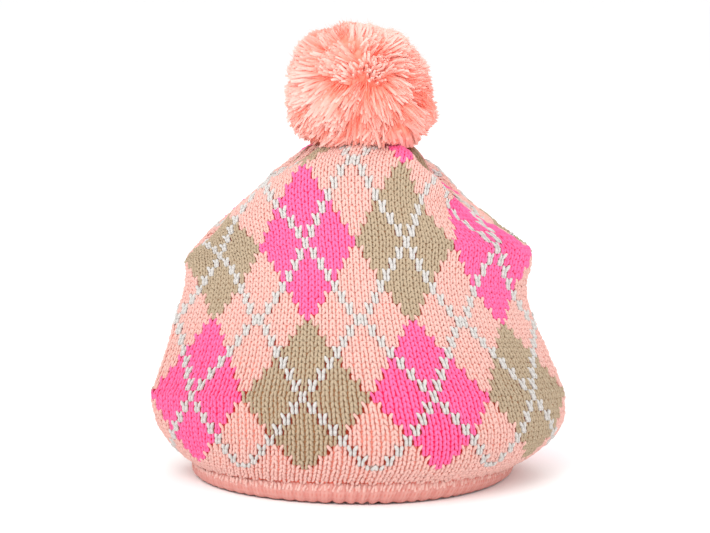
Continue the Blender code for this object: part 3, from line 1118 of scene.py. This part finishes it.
    def tree(self) -> Grower:
        """Builds the tree.

        Returns:
            The tree, whose inputs are the stitches' sizes, the guide and the material.
        """
        kinds = {"Guide": "Object", "Material": "Material"} | dict.fromkeys(self.plain.inputs(), "Float")
        grower = Grower("knitted_stitches", kinds)
        place = grower.add("GeometryNodeInputPosition")
        column = grower.add("ShaderNodeSeparateXYZ", {0: place})
        own_chart = self.chart_of(grower, column, column.beside("Y"))
        pitch, outward = grower.kept("FLOAT_VECTOR", PITCH, OUTWARD)
        shaken = {0: (-1.0, -1.0, -1.0), 1: (1.0, 1.0, 1.0), "Seed": self.seed}
        toned = {2: -1.0, 3: 1.0, "Seed": self.seed}
        stored = {
            "stitch": place,
            PITCH: self.sample(grower, pitch, own_chart),
            "shake": grower.add("FunctionNodeRandomValue", shaken, 0, data_type="FLOAT_VECTOR"),
            SHADE: grower.add("FunctionNodeRandomValue", toned, 1, data_type="FLOAT"),
        }
        points = grower.keep(grower.entry["Geometry"], stored)
        spots = grower.add("GeometryNodeInstanceOnPoints", {"Points": points, "Instance": self.legs(grower)})
        loose = grower.add("GeometryNodeRealizeInstances", {"Geometry": spots})
        stitch, centre = grower.kept("FLOAT_VECTOR", "stitch", "centre")
        middle = grower.add("ShaderNodeSeparateXYZ", {0: stitch})
        side = grower.add("ShaderNodeSeparateXYZ", {0: grower.calc("SIGN", centre)})
        column = grower.add("ShaderNodeSeparateXYZ", {0: self.moved(grower)})
        row, lift = column.beside("Y"), column.beside("Z")
        away = grower.calc("MAXIMUM", (column - middle) * side, self.own_side) * side + middle
        at = self.chart_of(grower, self.kept_at_slits(grower, middle, away, row), row)
        upward = grower.calc("NORMALIZE", self.sample(grower, outward, at))
        lifted = grower.keep(loose, {LIFT: lift})
        final = self.sample(grower, place, at) + upward * (grower.kept("FLOAT", LIFT)[0] * MM)
        laid = grower.add("GeometryNodeSetPosition", {"Geometry": lifted, "Position": final})
        smooth = grower.add("GeometryNodeSetShadeSmooth", {"Geometry": laid})
        feeds = {"Geometry": smooth, "Material": grower.entry["Material"]}
        grower.feed(grower.leave.inputs[0], grower.add("GeometryNodeSetMaterial", feeds))
        return grower

    def moved(self, grower: Grower) -> Wire:
        """Works out where each point of the legs goes.

        Args:
            grower: the tree.

        Returns:
            Its column, its row and its height over the guide.
        """
        names = ("stitch", PITCH, "shake", "centre", "local", FLARE)
        stitch, pitch, shake, centre, local, flares = grower.kept("FLOAT_VECTOR", *names)
        along = grower.kept("FLOAT", ALONG)[0]
        wide = grower.add("ShaderNodeSeparateXYZ", {0: pitch})
        slim = grower.calc("MINIMUM", wide / self.slim_under, 1.0)
        own_pitch = grower.add("ShaderNodeCombineXYZ", {"X": wide, "Y": wide.beside("Y"), "Z": 1.0})
        offset = (local - centre) * slim / own_pitch
        sides = grower.calc("SIGN", centre)
        side = grower.add("ShaderNodeSeparateXYZ", {0: sides})
        stretch = grower.add("ShaderNodeClamp", {"Value": (wide - self.upright_from) / self.upright_over})
        upright = sides * (self.upright_apart, 0.0, 0.0) - centre * (self.upright_less, 0.0, 0.0)
        left = grower.add("ShaderNodeSeparateXYZ", {0: flares})
        flare = left * (side * -0.5 + 0.5) + left.beside("Y") * (side * 0.5 + 0.5)
        flare = flare * (along / (self.plain.arm_rise - self.plain.foot_rise)) ** self.flare_bend
        forward = grower.calc("MAXIMUM", flare, 0.0) * self.flare_high
        aside = grower.add("ShaderNodeCombineXYZ", {"X": flare * side * self.flare_wide, "Z": forward})
        leg = stitch * (1.0, 1.0, 0.0) + sides
        chance = grower.add("ShaderNodeTexWhiteNoise", {"Vector": leg}, "Color") - (0.5, 0.5, 0.5)
        sway = chance * along * (grower.entry["Wander"] / self.plain.arm_rise)
        moved = centre + upright * stretch + aside + shake * grower.entry["Unevenness"] + sway
        return stitch + moved / (COLUMN_PITCH, ROW_PITCH, 1.0) + offset


@dataclass
class TurnedHem:
    """The hem: the cover's lower edge turned up inside and stitched, as a soft roll that the stitching draws
    into lobes, with its lower edge scalloped."""

    drape: Drape
    skin_depth: float = 1.0
    thickness: float = 5.0
    squareness: float = 4.0  # of the roll's section: 2 is round
    scallop_height: float = 1.5
    top_row: float = 1.0
    column_step: float = 0.25
    section_steps: int = 24
    notch_width: float = 1.3  # the more, the narrower the notches between the scallops
    swell_spread: float = 0.4  # the less, the farther the lobes reach round the roll
    lobe_tones: tuple[float, float] = (0.35, 0.65)  # painted shade and light: of the colour in a notch, and how much a crest adds
    low_tone: float = 0.4  # the share of that which a crest has at the lower edge, darker there by painted shade
    chart_side: float = -0.3  # how far round the roll the chart goes on: 1 is the outside's middle; the rest of it has the painted shadow of the turned-under edge

    def ring_at(self, columns: np.ndarray, row: float) -> np.ndarray:
        """Finds the drape's ring at one row, all the way round.

        Args:
            columns: knitted columns, from the spout round to the spout.
            row: the knitted row.

        Returns:
            One point for each column.
        """
        front = columns < HANDLE_COLUMN
        halves = ((columns[front], False), (2 * HANDLE_COLUMN - columns[~front], True))
        return np.concatenate([self.drape.panel(half, np.array([row]), back)[0] for half, back in halves])

    def build(self, material: bpy.types.Material) -> bpy.types.Object:
        """Makes the roll, closed on itself all round.

        Args:
            material: the hem's finish.

        Returns:
            The roll.
        """
        columns = np.arange(SPOUT_COLUMN, SPOUT_COLUMN + COLUMNS_ROUND, self.column_step)
        low, high = self.ring_at(columns, HEM_ROW), self.ring_at(columns, self.top_row)
        around = np.roll(low, -1, axis=0) - np.roll(low, 1, axis=0)
        outward = unit(np.stack([around[:, 1], -around[:, 0], around[:, 0] * 0.0], axis=1))
        notch = (1.0 - self.drape.scallops(columns, 0.0)) ** self.notch_width
        notch = self.scallop_height * notch * self.drape.rib_strength(columns)
        lines, charts, lobes = [], [], []
        for phase in np.linspace(0.0, 2 * math.pi, self.section_steps, endpoint=False):
            side, up = math.cos(phase), math.sin(phase)
            reach, level = (math.copysign(abs(way) ** (2 / self.squareness), way) for way in (side, up))
            level = level * 0.5 + 0.5
            rows = np.full(len(columns), HEM_ROW + (self.top_row - HEM_ROW) * level)
            swell = self.drape.hem_relief(columns, np.minimum(rows, 0.0))
            swell = swell * max(side, 0.0) ** self.swell_spread
            out = swell - self.skin_depth * level - self.thickness / 2 * (1.0 - reach)
            line = low + (high - low) * level + outward * out[:, None]
            line[:, 2] += notch * (1.0 - level) ** 2
            lines.append(line)
            chart_row = np.full(len(columns), level if side > self.chart_side else 0.0)
            charts.append(np.stack([np.arange(len(columns)) / len(columns), chart_row], axis=1))
            # painted light on the lobes' crests and painted shade in their notches, less light towards the
            # lower edge
            crest = self.drape.scallops(columns, level) * (self.low_tone + (1.0 - self.low_tone) * level)
            lobes.append(self.lobe_tones[0] + self.lobe_tones[1] * crest)
        faces = grid_faces(len(lines) + 1, len(columns), closed=True) % (len(lines) * len(columns))
        mesh = new_mesh("turned_hem", np.concatenate(lines) * MM, faces)
        if mesh.polygons[0].normal.dot(Vector(outward[0])) < 0.0:
            mesh.flip_normals()
        store_chart(mesh, np.concatenate(charts))
        store(mesh, LIFT, "FLOAT", np.array(lobes))
        mesh.shade_smooth()
        return report(new_object("turned_hem", mesh, material))


# ---------------------------------------------------------------- the pompom


@dataclass(frozen=True)
class PompomFinish:
    """Cut ends of soft yarn, fluffy at their tips: painted light makes them lighter there, and painted shade
    a deep warm coral deeper in between them, where the light comes only through other yarn."""

    # painted light at the tips and painted shade deeper in: the colours by how far out a point is
    tip: str = "#FFC6BB"
    middle: str = "#FF9B88"
    root: str = "#FF6644"
    places: tuple[float, float, float] = (0.98, 0.87, 0.72)  # of the three colours, as shares of the way out
    tones: float = 0.05  # between one strand and the next

    def material(self) -> bpy.types.Material:
        """Makes the material, for strands that store how far out each point is.

        Returns:
            The cut yarn's material.
        """
        paint = Paint("cut_coral_yarn")
        shade, along = (
            paint.add("ShaderNodeAttribute", out="Fac", attribute_name=name) for name in (SHADE, ALONG)
        )
        # painted shade deeper in and painted light towards the tips, by how far out a point is
        out = shade * self.tones + along
        ramp = paint.add("ShaderNodeValToRGB", {"Fac": out})
        stops = ramp.socket.node.color_ramp.elements
        stops[0].position, stops[0].color = self.places[2], linear(self.root)
        stops[1].position, stops[1].color = self.places[0], linear(self.tip)
        stops.new(self.places[1]).color = linear(self.middle)
        return paint.dress(ramp, roughness=0.9, specular=0.15)


@dataclass(frozen=True)
class YarnLayer:
    """One kind of yarn end in the pompom."""

    count: int
    start: float  # share of the way out
    reach: float  # of the longest ends
    falloff: float  # how much shorter the others are, on average
    swell: tuple[float, ...]  # radii along it, and a last 0 where it ends in a point
    frizz: float


@dataclass
class Pompom:
    """The pompom: cut yarn ends swept over one another in locks from a parting in front, and fibres."""

    centre: tuple[float, float, float] = (2.0 + CENTRE_SHIFT[0], CENTRE_SHIFT[1], 190.0)
    radii: tuple[float, float, float] = (35.6, 34.5, 30.8)
    packed: float = 0.865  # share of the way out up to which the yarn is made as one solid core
    lower_fullness: float = 0.16
    bulges: tuple[tuple[float, float, float, float], ...] = (  # a direction, and how much fuller it is there
        (0.68, 0.0, -0.73, 0.13),
        (-0.63, 0.0, -0.78, 0.06),
        (-0.74, 0.0, 0.67, -0.03),
        (0.78, 0.0, 0.62, -0.04),
        (0.4, 0.0, 0.92, -0.08),
    )
    squareness: float = 2.6  # of its outline: 2 is round
    squared: float = 0.6  # the share of the outline that is so
    tightness: float = 0.962
    underside: float = 160.0
    parting: tuple[float, float, float] = (0.04, -0.96, 0.25)  # the direction from which the ends are swept
    sweep: float = 0.75
    locks: int = 210
    gather: float = 0.33  # how far a lock's ends come together in front
    gather_back: float = 0.1  # the share of that at the back
    lock_lean: float = 0.13
    lean_back: float = 0.15
    lock_lengths: tuple[float, float] = (0.945, 1.02)
    stray: float = 0.045
    lump_size: float = 15.0
    lump_place: float = 21.0  # in the field of chance
    lumps: float = 0.05
    nudge: float = 0.6  # of each end, as a share of the distance between them
    spacing: float = 0.8  # of an end's points: the less, the nearer they are to its tip
    bend: float = 1.4  # the more, the later an end bends towards its tip
    least_frizz: float = 0.3  # at its start
    clearance: float = 0.3
    thickness: tuple[float, float] = (0.8, 1.2)  # of single ends, as shares of their layer's
    ends: YarnLayer = YarnLayer(9000, 0.74, 1.0, 0.025, (0.66, 0.82, 0.84, 0.56), 0.4)
    under_ends: YarnLayer = YarnLayer(5500, 0.76, 0.96, 0.015, (0.9, 1.05, 0.6), 0.4)
    fibres: YarnLayer = YarnLayer(9000, 0.85, 1.04, 0.02, (0.19, 0.0), 1.0)
    core_roughness: tuple[tuple[float, float, float], ...] = (  # how high, how large, and where in the field
        (0.035, 3.0, 40.0),
        (0.03, 1.4, 60.0),
    )
    core_shade: float = 0.84  # painted shade: coloured as a strand this far out, deep in the pompom
    core_contrast: float = 1.5  # painted light and shade: how much lighter its bumps are than its hollows
    seed: int = 23

    def directions(self, count: int, rng: np.random.Generator) -> np.ndarray:
        """Spreads directions evenly over a ball, each nudged at random.

        Args:
            count: how many there are.
            rng: the source of chance.

        Returns:
            The directions, each one long.
        """
        index = np.arange(count) + 0.5
        height = 1.0 - 2.0 * index / count
        turn = math.pi * (1.0 + math.sqrt(5.0)) * index
        ring = np.sqrt(1.0 - height**2)
        even = np.stack([ring * np.cos(turn), ring * np.sin(turn), height], axis=1)
        return unit(even + rng.normal(0.0, self.nudge / math.sqrt(count), even.shape))

    def field(self, outward: np.ndarray, size: float, offset: float) -> np.ndarray:
        """A smooth random number at each place on the pompom's outside."""
        places = outward * self.radii / size + offset
        return np.array([noise.noise_vector(Vector(place))[0] for place in places])

    def outline(self, outward: np.ndarray) -> np.ndarray:
        """Finds how far out the pompom's outline is.

        Args:
            outward: the directions.

        Returns:
            The share of its radii in each of them.
        """
        upright = np.stack([np.hypot(outward[:, 0], outward[:, 1]), outward[:, 2]], axis=1)
        squared = (np.abs(upright) ** self.squareness).sum(axis=1) ** (-1.0 / self.squareness)
        full = 1.0 + self.lower_fullness * np.maximum(0.0, -outward[:, 2])
        for *toward, amount in self.bulges:
            full = full + amount * np.maximum(0.0, outward @ np.array(toward)) ** 4
        lumps = 1.0 + self.lumps * self.field(outward, self.lump_size, self.lump_place)
        return (1.0 - self.squared + self.squared * squared) * full * lumps * self.tightness

    def facing(self, outward: np.ndarray) -> np.ndarray:
        """How far these directions face the parting, from 1 on it to -1 behind."""
        return (outward @ unit(np.array(self.parting)))[:, None]

    def swept(self, outward: np.ndarray) -> np.ndarray:
        """Where ends that start out this way are swept to: away from the parting, least at the back."""
        facing = self.facing(outward)
        aside = outward * facing - unit(np.array(self.parting))
        return outward + self.sweep * (1.0 + facing) / 2.0 * aside

    def tips(self, outward: np.ndarray, rng: np.random.Generator) -> tuple[np.ndarray, np.ndarray]:
        """Finds where the ends' tips are, gathered into locks.

        Args:
            outward: the directions in which the ends start.
            rng: the source of chance.

        Returns:
            The direction of each tip, and how long its lock is.
        """
        lock_rng = np.random.default_rng(self.seed)
        centres = self.directions(self.locks, lock_rng)
        leans = lock_rng.normal(0.0, self.lock_lean, centres.shape)
        lengths = lock_rng.uniform(*self.lock_lengths, self.locks)
        own = np.argmax(outward @ centres.T, axis=1)
        front = (1.0 + self.facing(outward)) / 2.0
        gather = self.gather * (self.gather_back + (1.0 - self.gather_back) * front)
        tips = self.swept(outward) * (1.0 - gather) + self.swept(centres)[own] * gather
        tips = tips + leans[own] * (self.lean_back + (1.0 - self.lean_back) * front)
        return unit(tips + rng.normal(0.0, self.stray, tips.shape)), lengths[own]

    def paths(
        self, layer: YarnLayer, outward: np.ndarray, cloth: BVHTree, rng: np.random.Generator
    ) -> tuple[np.ndarray, np.ndarray]:
        """Paths from inside the pompom out to the tips, kept off the cloth.

        Args:
            layer: the kind of yarn end.
            outward: each one's direction.
            cloth: the cloth under the pompom.
            rng: the source of chance.

        Returns:
            The paths and the share of the way out of each of their points.
        """
        tips, lengths = self.tips(outward, rng)
        reach = layer.reach * lengths * (1.0 - layer.falloff * rng.exponential(1.0, layer.count))
        t = np.linspace(0.0, 1.0, len(layer.swell))
        along = layer.start + (reach[:, None] - layer.start) * t**self.spacing
        bend = (t**self.bend)[:, None]
        ways = unit(outward[:, None] * (1.0 - bend) + tips[:, None] * bend)
        paths = ways * self.radii * (self.outline(tips)[:, None] * along)[..., None]
        paths = paths + rng.normal(0.0, layer.frizz, paths.shape) * (self.least_frizz + bend) + self.centre
        self.lift_off(paths.reshape(-1, 3), cloth, self.clearance)
        return paths, along

    def lift_off(self, places: np.ndarray, cloth: BVHTree, clearance: float) -> None:
        """Lifts what lies too low up to the pompom's underside, and clear of the cloth.

        Args:
            places: the places, in millimetres, which are changed.
            cloth: the cloth under the pompom.
            clearance: how far over the cloth they are at least.
        """
        places[:, 2] = np.maximum(places[:, 2], self.underside)
        for place in places:
            hit = cloth.ray_cast(Vector((place[0] * MM, place[1] * MM, 1.0)), Vector((0.0, 0.0, -1.0)))[0]
            place[2] = max(place[2], (hit.z / MM if hit else 0.0) + clearance)

    def tubes(
        self, paths: np.ndarray, swell: tuple[float, ...], thickness: np.ndarray
    ) -> tuple[np.ndarray, np.ndarray]:
        """Closed three-sided tubes round many paths at once.

        Args:
            paths: for each yarn end its points, in millimetres.
            swell: the radius at each of those points.
            thickness: each yarn end's own share of those radii.

        Returns:
            The points, for each yarn end, and the triangles.
        """
        count, steps = paths.shape[:2]
        run = unit(np.gradient(paths, axis=1))
        helper = np.where(np.abs(run[..., 2:]) < 0.9, (0.0, 0.0, 1.0), (1.0, 0.0, 0.0))
        first = unit(np.cross(run, helper))[:, :, None]
        second = np.cross(run[:, :, None], first)
        turns = (2 * math.pi * np.arange(3) / 3)[:, None]
        radii = (np.array(swell) * thickness[:, None])[:, :, None, None]
        rim = first * np.cos(turns) + second * np.sin(turns)
        points = (paths[:, :, None] + rim * radii).reshape(count, steps * 3, 3)
        ring, after = np.arange(3), np.array([1, 2, 0])
        pointed = swell[-1] == 0.0
        faces = [np.array([[0, 2, 1]])]
        for low in range(0, (steps - 1 - pointed) * 3, 3):
            faces.append(low + np.stack([ring, after, 3 + after], axis=1))
            faces.append(low + np.stack([ring, 3 + after, 3 + ring], axis=1))
        last = (steps - 1) * 3
        if pointed:
            points = points[:, : last + 1]
            faces.append(np.stack([last - 3 + ring, last - 3 + after, np.full(3, last)], axis=1))
        else:
            faces.append(last + ring[None])
        starts = np.arange(count)[:, None, None] * points.shape[1]
        return points, (starts + np.concatenate(faces)).reshape(-1, 3)

    def grow(
        self, name: str, layer: YarnLayer, cloth: BVHTree, material: bpy.types.Material
    ) -> bpy.types.Object:
        """Makes one piece, of one kind of yarn end.

        Args:
            name: the piece's name.
            layer: the kind of yarn end.
            cloth: the cloth under the pompom.
            material: the yarn.

        Returns:
            The piece.
        """
        rng = np.random.default_rng(self.seed)
        outward = self.directions(layer.count, rng)
        paths, along = self.paths(layer, outward, cloth, rng)
        points, faces = self.tubes(paths, layer.swell, rng.uniform(*self.thickness, layer.count))
        tones = np.repeat(rng.uniform(-1.0, 1.0, layer.count), points.shape[1])
        mesh = new_mesh(name, points.reshape(-1, 3) * MM, faces)
        store(mesh, ALONG, "FLOAT", np.repeat(along, 3, axis=1)[:, : points.shape[1]])
        store(mesh, SHADE, "FLOAT", tones)
        return report(new_object(name, mesh, material))

    def core(self, cloth: BVHTree, material: bpy.types.Material) -> bpy.types.Object:
        """Makes the middle, where the yarn is packed too close to show single ends.

        Args:
            cloth: the cloth under the pompom.
            material: the yarn.

        Returns:
            The piece.
        """
        bm = bmesh.new()
        bmesh.ops.create_icosphere(bm, subdivisions=5, radius=1.0)
        mesh = bpy.data.meshes.new("pompom_core")
        bm.to_mesh(mesh)
        bm.free()
        outward = np.array([vert.co.normalized() for vert in mesh.vertices])
        rough = sum(height * self.field(outward, *place) for height, *place in self.core_roughness)
        places = outward * self.radii * (self.outline(outward) * (self.packed + rough))[:, None] + self.centre
        self.lift_off(places, cloth, self.clearance / 2)
        mesh.vertices.foreach_set("co", (places * MM).ravel())
        mesh.update()
        # painted light on the core's bumps and painted shade in its hollows
        store(mesh, ALONG, "FLOAT", self.core_shade + self.core_contrast * rough)
        mesh.shade_smooth()
        return report(new_object("pompom_core", mesh, material))

    def build(self, cloth: BVHTree, material: bpy.types.Material) -> list[bpy.types.Object]:
        """Makes the pompom's pieces.

        Args:
            cloth: the cloth under the pompom.
            material: the yarn.

        Returns:
            The yarn ends, and then the ends under them, the fibres and the core.
        """
        noise.seed_set(self.seed)  # without it the field of chance would follow the clock
        layers = {"yarn": self.ends, "under_yarn": self.under_ends, "fibres": self.fibres}
        grown = [self.grow(f"pompom_{name}", layer, cloth, material) for name, layer in layers.items()]
        return [*grown, self.core(cloth, material)]


# ---------------------------------------------------------------- the studio


@dataclass
class Studio:
    """A pale floor, a white surround and soft lamps, with the camera low in front."""

    aim: tuple[float, float, float] = (CENTRE_SHIFT[0], 0.0, 100.7)
    distance: float = 1600.0
    elevation: float = 9.5
    lens: float = 168.7
    sensor: float = 36.0
    surround: float = 1.02
    floor_colour: str = "#FCFCFC"
    floor_half: float = 4.0  # in metres, as the two below
    floor_drop: float = 0.0003
    lamp_aim: tuple[float, float, float] = (0.0, 0.0, 0.1)

    def build(self) -> None:
        """Adds the camera, the surround, the lamps and the floor."""
        scene = bpy.context.scene
        angle = math.radians(self.elevation)
        back = Vector((0.0, -math.cos(angle), math.sin(angle)))
        camera = bpy.data.objects.new("camera", bpy.data.cameras.new("camera"))
        camera.data.lens = self.lens
        camera.data.sensor_width = self.sensor
        camera.data.clip_start = 0.05
        self.place(camera, Vector(self.aim) * MM + back * self.distance * MM, -back)
        scene.camera = camera
        scene.world = bpy.data.worlds.new("surround")
        scene.world.use_nodes = True
        light = scene.world.node_tree.nodes["Background"].inputs
        light["Color"].default_value, light["Strength"].default_value = (1.0, 1.0, 1.0, 1.0), self.surround
        scene.view_settings.view_transform = "Standard"
        self.lamp("key_lamp", (-0.7, -0.9, 1.0), size=0.9, power=4.4)
        self.lamp("fill_lamp", (0.9, -0.8, 0.6), size=0.9, power=2.0)
        self.lamp("top_lamp", (-0.1, -0.45, 0.6), size=0.5, power=1.3)
        self.lamp("back_lamp", (0.3, 1.1, 1.0), size=1.0, power=4.0)
        self.floor()

    def place(self, obj: bpy.types.Object, place: Vector, way: Vector) -> None:
        """Puts a camera or a lamp in its place.

        Args:
            obj: the camera or the lamp.
            place: its place, in metres.
            way: the way it faces.
        """
        obj.location = place
        obj.rotation_euler = way.to_track_quat("-Z", "Y").to_euler()
        bpy.context.scene.collection.objects.link(obj)

    def lamp(self, name: str, place: tuple[float, float, float], size: float, power: float) -> None:
        """Adds a square soft lamp that faces the cosy.

        Args:
            name: its name.
            place: its place, in metres.
            size: its side, in metres.
            power: its power, in watts.
        """
        light = bpy.data.lights.new(name, "AREA")
        light.size = size
        light.energy = power
        lamp = bpy.data.objects.new(name, light)
        self.place(lamp, Vector(place), Vector(self.lamp_aim) - Vector(place))

    def floor(self) -> None:
        """Adds the floor, just under the hem."""
        corners = np.array([(-1, -1, 0), (1, -1, 0), (1, 1, 0), (-1, 1, 0)]) * self.floor_half
        mesh = new_mesh("floor", corners - (0.0, 0.0, self.floor_drop), np.arange(4)[None])
        finish = Paint("matt_white_floor").dress(self.floor_colour, roughness=1.0, specular=0.0)
        floor = new_object("floor", mesh, finish)


def ride_with(obj: bpy.types.Object) -> None:
    """Makes a finished piece ride on the cosy's body."""
    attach(obj, BODY)


@dataclass
class StitchPlan:
    """Which stitches make which piece: one for each yarn, with the pale ones of back and hem apart."""

    chart: ArgyleChart
    last_row: int = 67
    drawn_back: float = -0.8
    hem_gap_rise: float = 0.55  # in rows: every other stitch over the hem is drawn up by its stitching

    def flare(self, column: int, row: int, side: int) -> float:
        """Finds how the leg on one side of a stitch flares.

        Args:
            column: the stitch's knitted column.
            row: its knitted row.
            side: -1 for its left leg and 1 for its right.

        Returns:
            The flare.
        """
        yarn = self.chart.yarn_at(column, row)
        above, beside = self.chart.yarn_at(column, row + 1), self.chart.yarn_at(column + side, row)
        if above is not yarn:
            return 1.0 if self.chart.yarn_at(column + side, row + 1) is not yarn else 0.0
        return self.drawn_back if beside is not yarn else 0.0

    def pieces(self) -> dict[str, tuple[Yarn, list[StitchPlace]]]:
        """Sorts the stitches into pieces.

        Returns:
            For each piece's name, its yarn and its stitches.
        """
        plan: dict[str, tuple[Yarn, list[StitchPlace]]] = {}
        for row in range(-1, self.last_row + 1):
            for column in range(int(SPOUT_COLUMN), int(SPOUT_COLUMN) + COLUMNS_ROUND):
                yarn = self.chart.yarn_at(column, row)
                name = f"{yarn.value}_stitches"
                if row < 0:
                    name = "hem_stitches"
                elif yarn is Yarn.PALE:
                    name += "_back" if column > HANDLE_COLUMN else "_front"
                rise = self.hem_gap_rise if row == 0 and column % 2 else 0.0
                flares = (self.flare(column, row, -1), self.flare(column, row, 1))
                plan.setdefault(name, (yarn, []))[1].append(StitchPlace(float(column), row + rise, flares))
        return plan


def stitch_kinds(plain: Stitches) -> dict[str, Stitches]:
    """Gives the stitches that differ from the plain ones: raised in the lattice, and drawn flat at the hem.

    Args:
        plain: the plain stitches.

    Returns:
        For each piece that has them, its stitches.
    """
    return {
        "off_white_stitches": replace(plain, yarn_radius=1.02, crest=0.62, foot_spread=0.3, arm_spread=1.5),
        "hem_stitches": replace(
            plain,
            foot_spread=0.85,
            arm_spread=1.1,
            foot_rise=-3.6,
            arm_rise=3.4,
            crest=0.1,
            foot_tuck=1.6,
            unevenness=0.25,
            wander=0.8,
        ),
    }


def main() -> None:
    """Builds the cosy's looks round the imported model."""
    logging.basicConfig(level=logging.INFO, format="%(name)s: %(message)s")
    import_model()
    Studio().build()

    drape, chart = Drape(), ArgyleChart()
    yarns = {yarn: finish.material() for yarn, finish in FINISHES.items()}
    cloth = ClothSheet(drape, chart)
    fine_rows = np.concatenate([np.arange(HEM_ROW, 2.0, 0.25), np.arange(2.0, TOP_ROW + 0.5)])
    guide = cloth.face("guide", 0.25, fine_rows)
    # painted shade: the ground between the stitches is darker than on the purl side
    between = GroundFinish("yarn_between_stitches", bump_depth=0.5, brightness=0.75).material()
    purl = GroundFinish("purl_side", bump_depth=0.6, brightness=1.0).material()
    sheet = cloth.build(between, purl)
    hem = TurnedHem(drape).build(HemFinish().material())
    plain = Stitches()
    kinds, grower = stitch_kinds(plain), Knitting(plain).tree()
    pieces = [
        kinds.get(name, plain).lay(name, places, grower, {"Guide": guide, "Material": yarns[yarn]})
        for name, (yarn, places) in StitchPlan(chart).pieces().items()
    ]
    bpy.data.objects.remove(guide)
    points = [vert.co.copy() for vert in sheet.data.vertices]
    under = BVHTree.FromPolygons(points, [tuple(face.vertices) for face in sheet.data.polygons])
    tufts = Pompom().build(under, PompomFinish().material())
    for piece in [sheet, hem, *pieces]:
        ride_with(piece)
    for piece in tufts:
        ride_with(piece)
    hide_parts(COVER_NODE)
    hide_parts(POMPOM_NODE)


if __name__ == "__main__":
    main()
